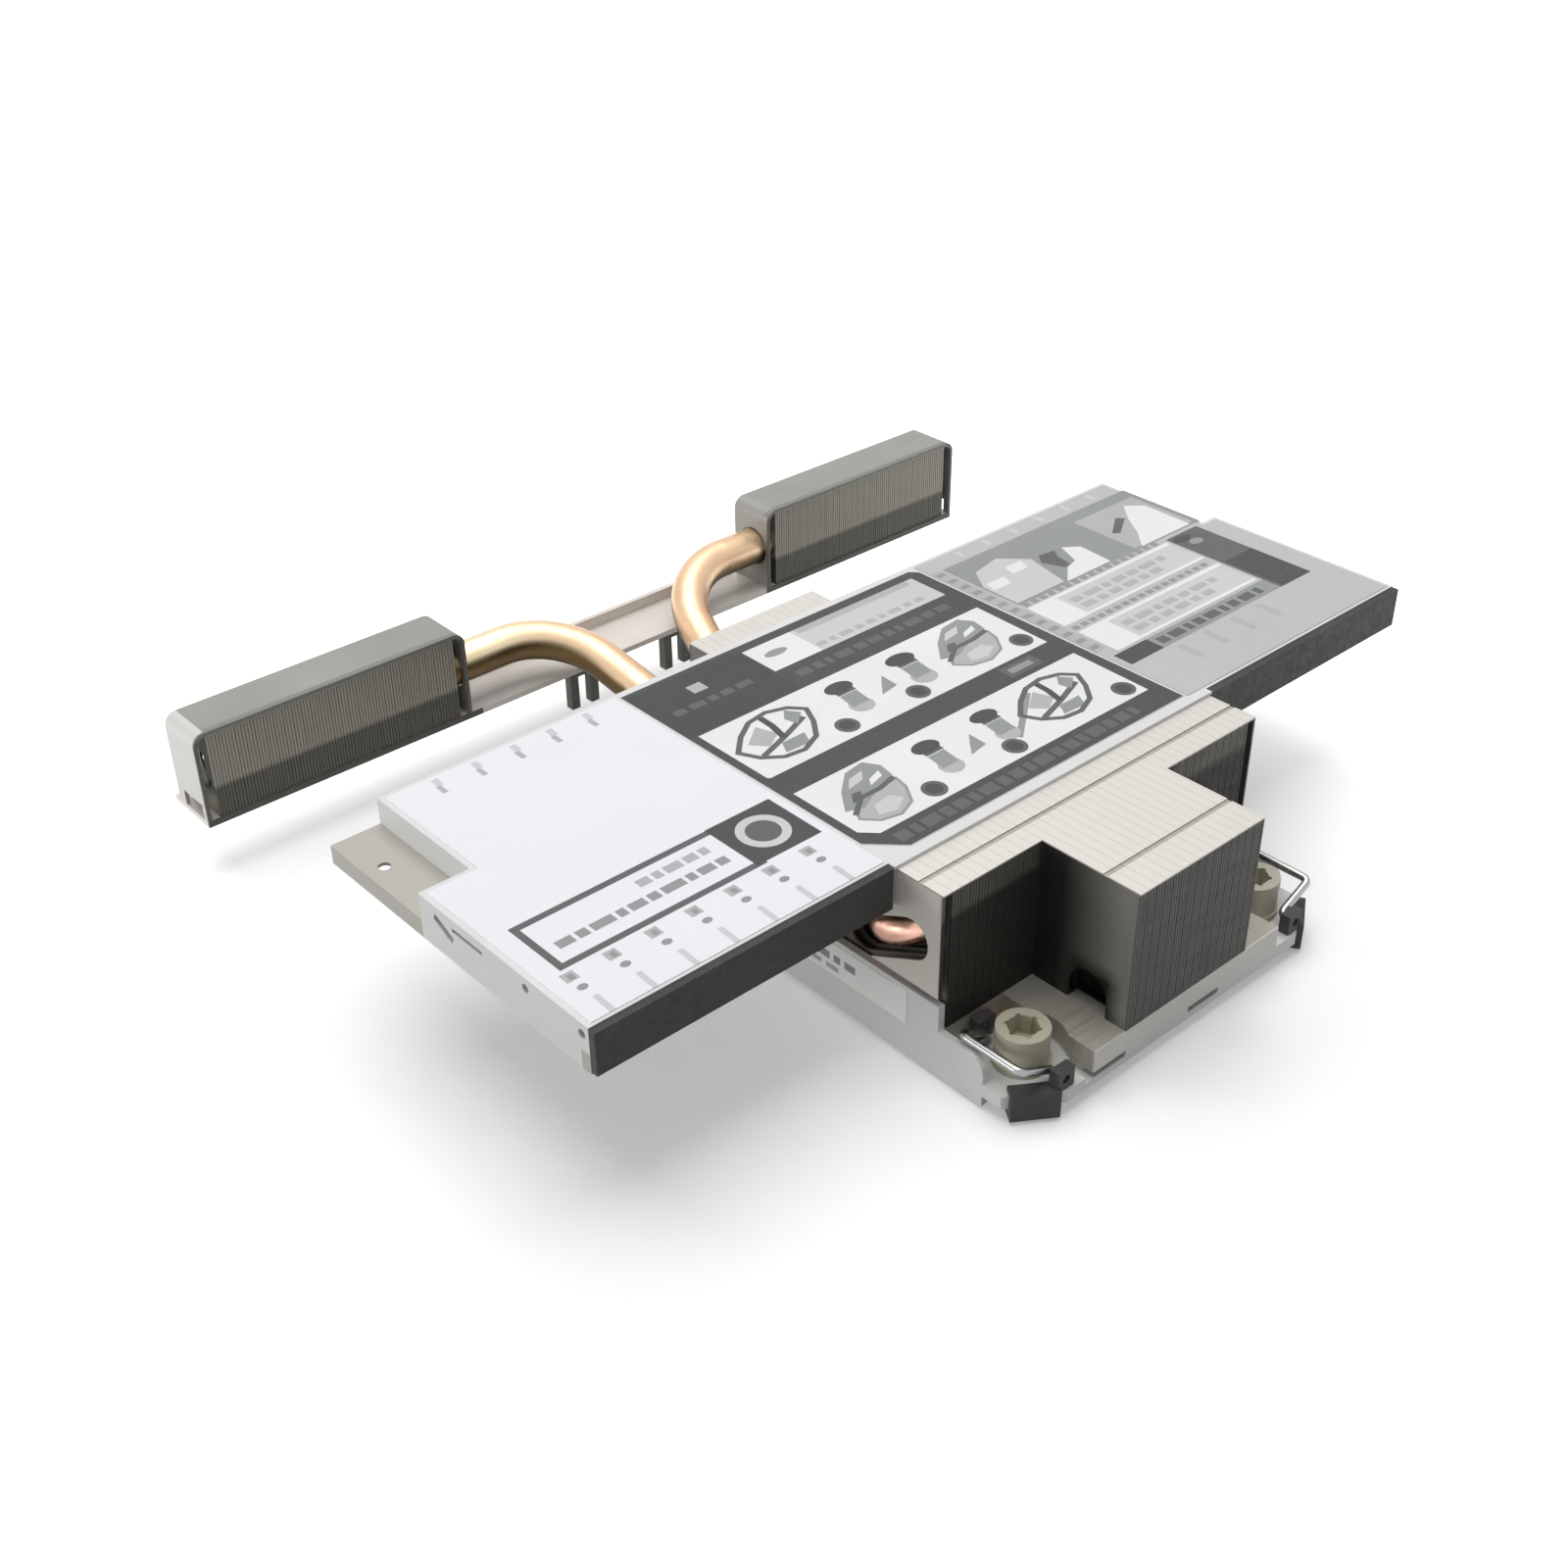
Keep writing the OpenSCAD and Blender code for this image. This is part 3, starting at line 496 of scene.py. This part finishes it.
def large_plate(x0, x1, y0, y1):
    """Sign of a large part seen at a slant: a rounded block with light slots, a band across it and
    a lighter foot, in shares u, v of the box."""
    def at(*uv):
        return np.array(uv, float) * (x1 - x0, y1 - y0) + (x0, y0)

    foot = at((0.04, 0.22), (0.20, 0.06), (0.46, 0.0), (0.72, 0.10), (0.88, 0.34), (0.92, 0.52), (0.50, 0.52),
              (0.16, 0.44))
    top = at((0.02, 0.42), (0.26, 0.72), (0.56, 0.96), (0.86, 1.0), (0.98, 0.82), (0.94, 0.60), (0.60, 0.50),
             (0.24, 0.34))
    marks = [("soft", 3, foot), ("grey", 4, top)]
    marks += [("mid", 6, p) for p in line(at((0.06, 0.30), (0.34, 0.50), (0.64, 0.50), (0.92, 0.56)), 1.0)]
    marks += [("pale", 5, at((0.36, 0.70), (0.50, 0.84), (0.74, 0.88), (0.62, 0.74)))]
    marks += [("paper", 5, at((0.60, 0.60), (0.68, 0.70), (0.88, 0.76), (0.84, 0.66)))]
    marks += [("mid", 5, at((0.20, 0.48), (0.32, 0.62), (0.44, 0.60), (0.34, 0.46)))]
    marks += [("pale", 4, at((0.26, 0.14), (0.48, 0.08), (0.70, 0.20), (0.62, 0.34), (0.34, 0.30)))]
    marks += [("grey", 5, p) for p in line(foot, 0.5, True)]
    return marks


def middle_print():
    """Middle film: a dark border and bands that leave three light fields, eight small signs, and
    rows of bars."""
    x0, x1, y0, y1 = -39.25, 34.45, -21.55, 45.75
    ground = np.array([(x0 + 5.5, y0), (x1, y0), (x1, y1 - 1.5), (x1 - 1.5, y1), (x0, y1), (x0, y0 + 5.5)])
    marks = [("dark", 0, ground), ("deep", 1, rect(x0 + 0.1, -13.3, 26.8, 44.6))]
    marks += [("pale", 1, rect(-12.8, 31.4, 34.0, 43.4)), ("paper", 2, rect(-12.8, -1.0, 34.0, 43.4))]
    marks += [("grey", 3, disc(-8.0, 39.3, 2.6, 1.1)), ("soft", 2, rect(0, 29.5, 41.6, 43.4))]
    marks += [("soft", 3, p) for p in bars(-0.5, 29.5, 35.4, 36.8, (2.2, 1.4, 3.0, 1.8), 1.1)]
    marks += [("mid", 1, p) for p in bars(-10.5, 28.5, 29.4, 31.6, (3.2, 2.1, 1.5, 4.0, 2.6), 0.9)]
    marks += [("soft", 2, rect(-28.6, -25.4, 37.8, 40.6))]
    marks += [("mid", 2, p) for p in bars(-36, -16.5, 33.6, 35.4, (2.6, 3.4, 1.8), 1.0)]
    for low, high in ((7.9, 26.2), (-16.0, 1.8)):
        cut = 2.6 if low < 0 else 0.4
        field = np.array([(-37.5 + cut, low), (31.6, low), (32.0, high), (-37.5, high), (-37.5, low + cut)])
        marks.append(("paper", 1, field))
    marks += [("mid", 1, rect(17, 25.5, 3.2, 6.8)), ("grey", 2, rect(18.2, 24.0, 4.2, 5.8))]
    marks += [("mid", 1, p) for p in bars(-34, 25, -20.2, -17.6, (2.8, 1.6, 3.6, 2.2), 0.8)]
    marks += sheet_from_above(-36.0, -17.6, 10.4, 24.4)
    marks += head_on_block(-11.7, -4.4, 12.6, 24.2, True)
    marks += head_on_block(3.4, 11.2, 12.2, 24.2, False)
    marks += large_plate(12.0, 27.8, 10.4, 25.4)
    marks += large_plate(-35.2, -20.6, -14.4, 1.2)
    marks += head_on_block(-14.4, -7.4, -12.0, -0.4, True)
    marks += head_on_block(0.2, 7.4, -11.2, -0.2, False)
    marks += [("grey", 2, p) for p in line([(2.8, -11.4), (15.0, -2.2)], 1.2)]
    marks += sheet_from_above(8.2, 26.4, -13.0, -0.4)
    for x, y in ((-16.1, 11.5), (1.1, 11.3), (28.6, 11.7), (-19.4, -12.8), (0.1, -12.8), (28.6, -12.8)):
        marks += [("mid", 5, disc(x, y, 2.3)), ("dark", 6, disc(x, y, 1.5))]
    print_on("print_middle", marks, "label_middle")


def left_print():
    """Left film: a framed field with bars, a dark square with a ring, and two rows of ticks."""
    marks = [("mid", 0, p) for p in line([(-92.7, -9.2), (-54, -9.2), (-54, 2.7), (-92.7, 2.7)], 1.3, True)]
    marks += [("dark", 1, rect(-55.1, -41.5, -9.4, 3.5))]
    marks += [("pale", 2, disc(-48.2, -2.9, 4.6)), ("mid", 3, disc(-48.2, -2.9, 3.0))]
    marks += [("soft", 0, p) for p in bars(-72.0, -57.8, -1.7, 0.2, (2.4, 1.6, 3.2), 0.7)]
    marks += [("grey", 0, p) for p in bars(-90.2, -57.2, -5.7, -3.8, (3.0, 2.0, 4.2, 1.6), 0.7)]
    tick_start, tick_step, tick_count = -93.2, 7.73, 7
    for x in tick_start + tick_step * np.arange(tick_count):
        marks.append(("soft", 0, rect(x - 1.1, x + 1.2, -12.9, -10.7)))
        marks.append(("grey", 1, rect(x - 0.3, x + 0.7, -12.6, -11.3)))
        marks.append(("grey", 0, disc(x + 0.1, -14.9, 0.9, 0.7)))
        marks.append(("pale", 0, rect(x - 0.4, x + 0.6, -22.0, -17.6, 0.2)))
    for x in (-79.0, -71.1, -63.2, -55.6, -47.8):
        marks.append(("soft", 0, rect(x - 0.7, x + 0.3, 41.0, 43.4)))
        marks.append(("pale", 0, rect(x - 0.4, x + 0.9, 43.4, 45.7, 0.2)))
    print_on("print_left", marks, "label_left")


def right_print():
    """Right film: a grey field with light and dark signs over two light rows, a dark strip and a
    dark column."""
    marks = [("soft", 0, rect(35.3, 38.0, -1.0, 42.0))]
    marks += [("grey", 1, rect(35.6, 37.6, y, y + 1.3)) for y in np.arange(0, 41, 3.3)]
    marks += [("grey", 0, rect(38.6, 94.1, 21.2, 41.8)), ("soft", 1, rect(74.0, 92.6, 22.0, 38.4))]
    for ink, layer, corners in (
        ("pale", 2, ((39.0, 22.0), (52.5, 22.0), (55.0, 33.0), (50.0, 38.0), (42.5, 36.5), (39.0, 31.0))),
        ("paper", 2, ((53.0, 21.6), (66.0, 21.6), (66.6, 30.0), (63.4, 32.4), (61.0, 26.6), (57.6, 25.6))),
        ("paper", 2, ((75.8, 21.6), (91.2, 21.6), (91.4, 33.6), (88.0, 36.6), (83.6, 31.6), (80.0, 26.2))),
        ("mid", 4, ((55.4, 30.6), (57.4, 26.0), (59.2, 26.4), (59.8, 30.2), (61.4, 32.4), (57.2, 33.0))),
        ("mid", 4, ((76.0, 29.6), (77.4, 28.6), (83.4, 32.4), (82.0, 33.8))),
    ):
        marks.append((ink, layer, np.array(corners)))
    marks.append(("paper", 3, rect(39.6, 44.5, 28.6, 31.6, 0.8)))
    marks.append(("paper", 3, rect(47.5, 52.0, 31.0, 34.0, 0.8)))
    for low, high in ((9.6, 19.3), (-3.2, 6.5)):
        marks += [("pale", 0, rect(38.6, 80.8, low, high)), ("paper", 1, rect(38.6, 46.0, low, high))]
        marks.append(("paper", 2, rect(38.6, 80.8, high - 1.1, high)))
        marks.append(("paper", 2, rect(46.0, 80.8, low, low + 0.9)))
        marks += [("soft", 3, p) for p in bars(47.5, 78.0, low + 5.2, low + 6.8, (2.6, 4.2, 1.8, 3.2), 1.2)]
        marks += [("soft", 3, p) for p in bars(47.5, 73.0, low + 2.4, low + 4.0, (3.4, 2.0, 2.8), 1.4)]
    for y in (20.4, 7.9):
        marks += [("grey", 1, p) for p in bars(39.0, 80.4, y - 0.6, y + 0.7, (1.6,), 0.8)]
    marks += [("grey", 0, rect(36.6, 91.3, -8.2, -3.9)), ("dark", 1, rect(36.6, 45.8, -8.2, -3.9))]
    marks += [("mid", 1, p) for p in bars(47.0, 80.0, -7.2, -5.0, (2.4, 3.6, 1.6), 1.0)]
    marks += [("mid", 1, rect(81.6, 91.3, -8.2, 20.1)), ("dark", 2, rect(82.4, 91.3, -8.2, 6.0))]
    marks += [("grey", 3, disc(85.8, 15.7, 1.8, 1.2)), ("dark", 3, disc(84.4, 18.2, 2.4, 1.2))]
    marks += [("soft", 0, rect(x - 0.7, x + 0.7, -15.0, -9.4)) for x in (48.6, 56.3, 64.4, 72.4)]
    marks += [("pale", 0, rect(x - 0.6, x + 0.8, 43.0, 45.6)) for x in (46.0, 54.0, 62.0, 70.0, 78.0, 86.0)]
    print_on("print_right", marks, "label_right")


def side_print():
    """Side film: two rows of bars, laid out along Y and Z and stood on the outer face of the
    upright strip."""
    low, high = (np.array(c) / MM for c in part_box("side_label"))
    marks = [("grey", p) for p in bars(low[1] + 12, high[1] - 4, 9.9, 11.4, (2.6, 1.6, 3.4, 2.0), 1.0)]
    marks += [("soft", p) for p in bars(low[1] + 16, high[1] - 10, 8.0, 9.0, (3.0, 2.2, 1.6), 1.2)]
    flat = np.array([p for _, p in marks])
    place = np.empty((len(flat), 4, 3))
    place[:, :, 0] = low[0] - LIFT
    place[:, :, 1:] = flat[:, ::-1]
    faces = np.arange(4 * len(flat)).reshape(-1, 4)
    mesh = bpy.data.meshes.new("print_side")
    mesh.from_pydata((place.reshape(-1, 3) * MM).tolist(), [], faces.tolist())
    for ink in INK_NAMES:
        mesh.materials.append(INKS[ink])
    mesh.polygons.foreach_set("material_index", [INK_NAMES.index(ink) for ink, _ in marks])
    o = bpy.data.objects.new("print_side", mesh)
    bpy.context.scene.collection.objects.link(o)
    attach(o, "block")


middle_print()
left_print()
right_print()
side_print()


# Light

def area_light(name, place, aim, size, power):
    """Rectangular soft light that looks at a point."""
    data = bpy.data.lights.new(name, "AREA")
    data.shape = "RECTANGLE"
    data.size, data.size_y = size
    data.energy = power
    o = bpy.data.objects.new(name, data)
    bpy.context.scene.collection.objects.link(o)
    o.location = place
    o.rotation_euler = (Vector(aim) - Vector(place)).to_track_quat("-Z", "Y").to_euler()


def seen_directly(n, link):
    """1 for camera, glossy and transmission rays, so that they meet the pale background."""
    path = n.new("ShaderNodeLightPath")
    last = path.outputs["Is Camera Ray"]
    for ray in ("Is Glossy Ray", "Is Transmission Ray"):
        m = n.new("ShaderNodeMath")
        m.operation = "MAXIMUM"
        link(last, m.inputs[0])
        link(path.outputs[ray], m.inputs[1])
        last = m.outputs[0]
    return last


WORLD_GREY = (0.30, 0.30, 0.31, 1)
WORLD_WHITE = (1, 1, 1, 1)
FLOOR_HALF = 2.5
FLOOR_DROP = 0.0002
SHADOW_CENTRE = (-0.05, -0.02, 0)
GLOW_NEAR, GLOW_FAR = 0.10, 0.19
GLOW_LOW, GLOW_HIGH = 0.27, 1.0
FLOOR_TONE_LIT, FLOOR_TONE_SEEN = 0.40, 0.78


def studio():
    """Pale floor and white background for the rays that see them, dimmer for the light they give.
    The floor's glow grows from GLOW_LOW at GLOW_NEAR round the shadow's centre to GLOW_HIGH at
    GLOW_FAR."""
    world = bpy.data.worlds.new("studio")
    bpy.context.scene.world = world
    world.use_nodes = True
    n, link = world.node_tree.nodes, world.node_tree.links.new
    back = n["Background"]
    mix = n.new("ShaderNodeMix")
    mix.data_type = "RGBA"
    mix.inputs["A"].default_value = WORLD_GREY
    mix.inputs["B"].default_value = WORLD_WHITE
    link(seen_directly(n, link), mix.inputs["Factor"])
    link(mix.outputs["Result"], back.inputs["Color"])
    back.inputs["Strength"].default_value = 1.0

    mesh = bpy.data.meshes.new("floor")
    r = FLOOR_HALF
    mesh.from_pydata([(-r, -r, 0), (r, -r, 0), (r, r, 0), (-r, r, 0)], [], [(0, 1, 2, 3)])
    floor = bpy.data.objects.new("floor", mesh)
    bpy.context.scene.collection.objects.link(floor)
    floor.location = (0, 0, -FLOOR_DROP)
    m = bpy.data.materials.new("floor_white")
    m.use_nodes = True
    n, link = m.node_tree.nodes, m.node_tree.links.new
    p = n["Principled BSDF"]
    p.inputs["Roughness"].default_value = 0.9
    p.inputs["Specular IOR Level"].default_value = 0.0
    p.inputs["Emission Color"].default_value = (1, 1, 1, 1)
    seen = seen_directly(n, link)
    coord, far = n.new("ShaderNodeTexCoord"), n.new("ShaderNodeMapRange")
    reach = n.new("ShaderNodeVectorMath")
    reach.operation = "DISTANCE"
    reach.inputs[1].default_value = SHADOW_CENTRE
    link(coord.outputs["Object"], reach.inputs[0])
    far.inputs["From Min"].default_value = GLOW_NEAR
    far.inputs["From Max"].default_value = GLOW_FAR
    far.inputs["To Min"].default_value = GLOW_LOW
    far.inputs["To Max"].default_value = GLOW_HIGH
    link(reach.outputs["Value"], far.inputs["Value"])
    glow = n.new("ShaderNodeMath")
    glow.operation = "MULTIPLY"
    link(seen, glow.inputs[0])
    link(far.outputs[0], glow.inputs[1])
    link(glow.outputs[0], p.inputs["Emission Strength"])
    tone = n.new("ShaderNodeMapRange")
    tone.inputs["To Min"].default_value = FLOOR_TONE_LIT
    tone.inputs["To Max"].default_value = FLOOR_TONE_SEEN
    link(seen, tone.inputs["Value"])
    link(tone.outputs[0], p.inputs["Base Color"])
    mesh.materials.append(m)

    area_light("top_back", (0.02, 0.22, 1.10), (0, 0.02, 0), (1.1, 1.1), 11.6)
    area_light("left_back", (-1.0, 0.40, 0.20), (0, 0, 0.02), (0.5, 0.35), 3.6)


studio()


# Camera

CAMERA_PLACE = (-0.21415, -0.19570, 0.21168)
CAMERA_RIGHT = (0.7448, -0.6673, -0.01)
CAMERA_BACK = (-0.5551, -0.6278, 0.5457)
LENS, SENSOR = 44.39, 36


def camera():
    """Camera at the fitted place, with the fitted lens and no shift."""
    data = bpy.data.cameras.new("camera")
    data.lens, data.sensor_width = LENS, SENSOR
    data.clip_start, data.clip_end = 0.01, 20
    o = bpy.data.objects.new("camera", data)
    bpy.context.scene.collection.objects.link(o)
    right = Vector(CAMERA_RIGHT).normalized()
    back = Vector(CAMERA_BACK).normalized()
    up = back.cross(right).normalized()
    right = up.cross(back)
    turn = Matrix((right, up, back)).transposed()
    o.matrix_world = Matrix.Translation(CAMERA_PLACE) @ turn.to_4x4()
    bpy.context.scene.camera = o


camera()
bpy.context.scene.view_settings.view_transform = "Standard"
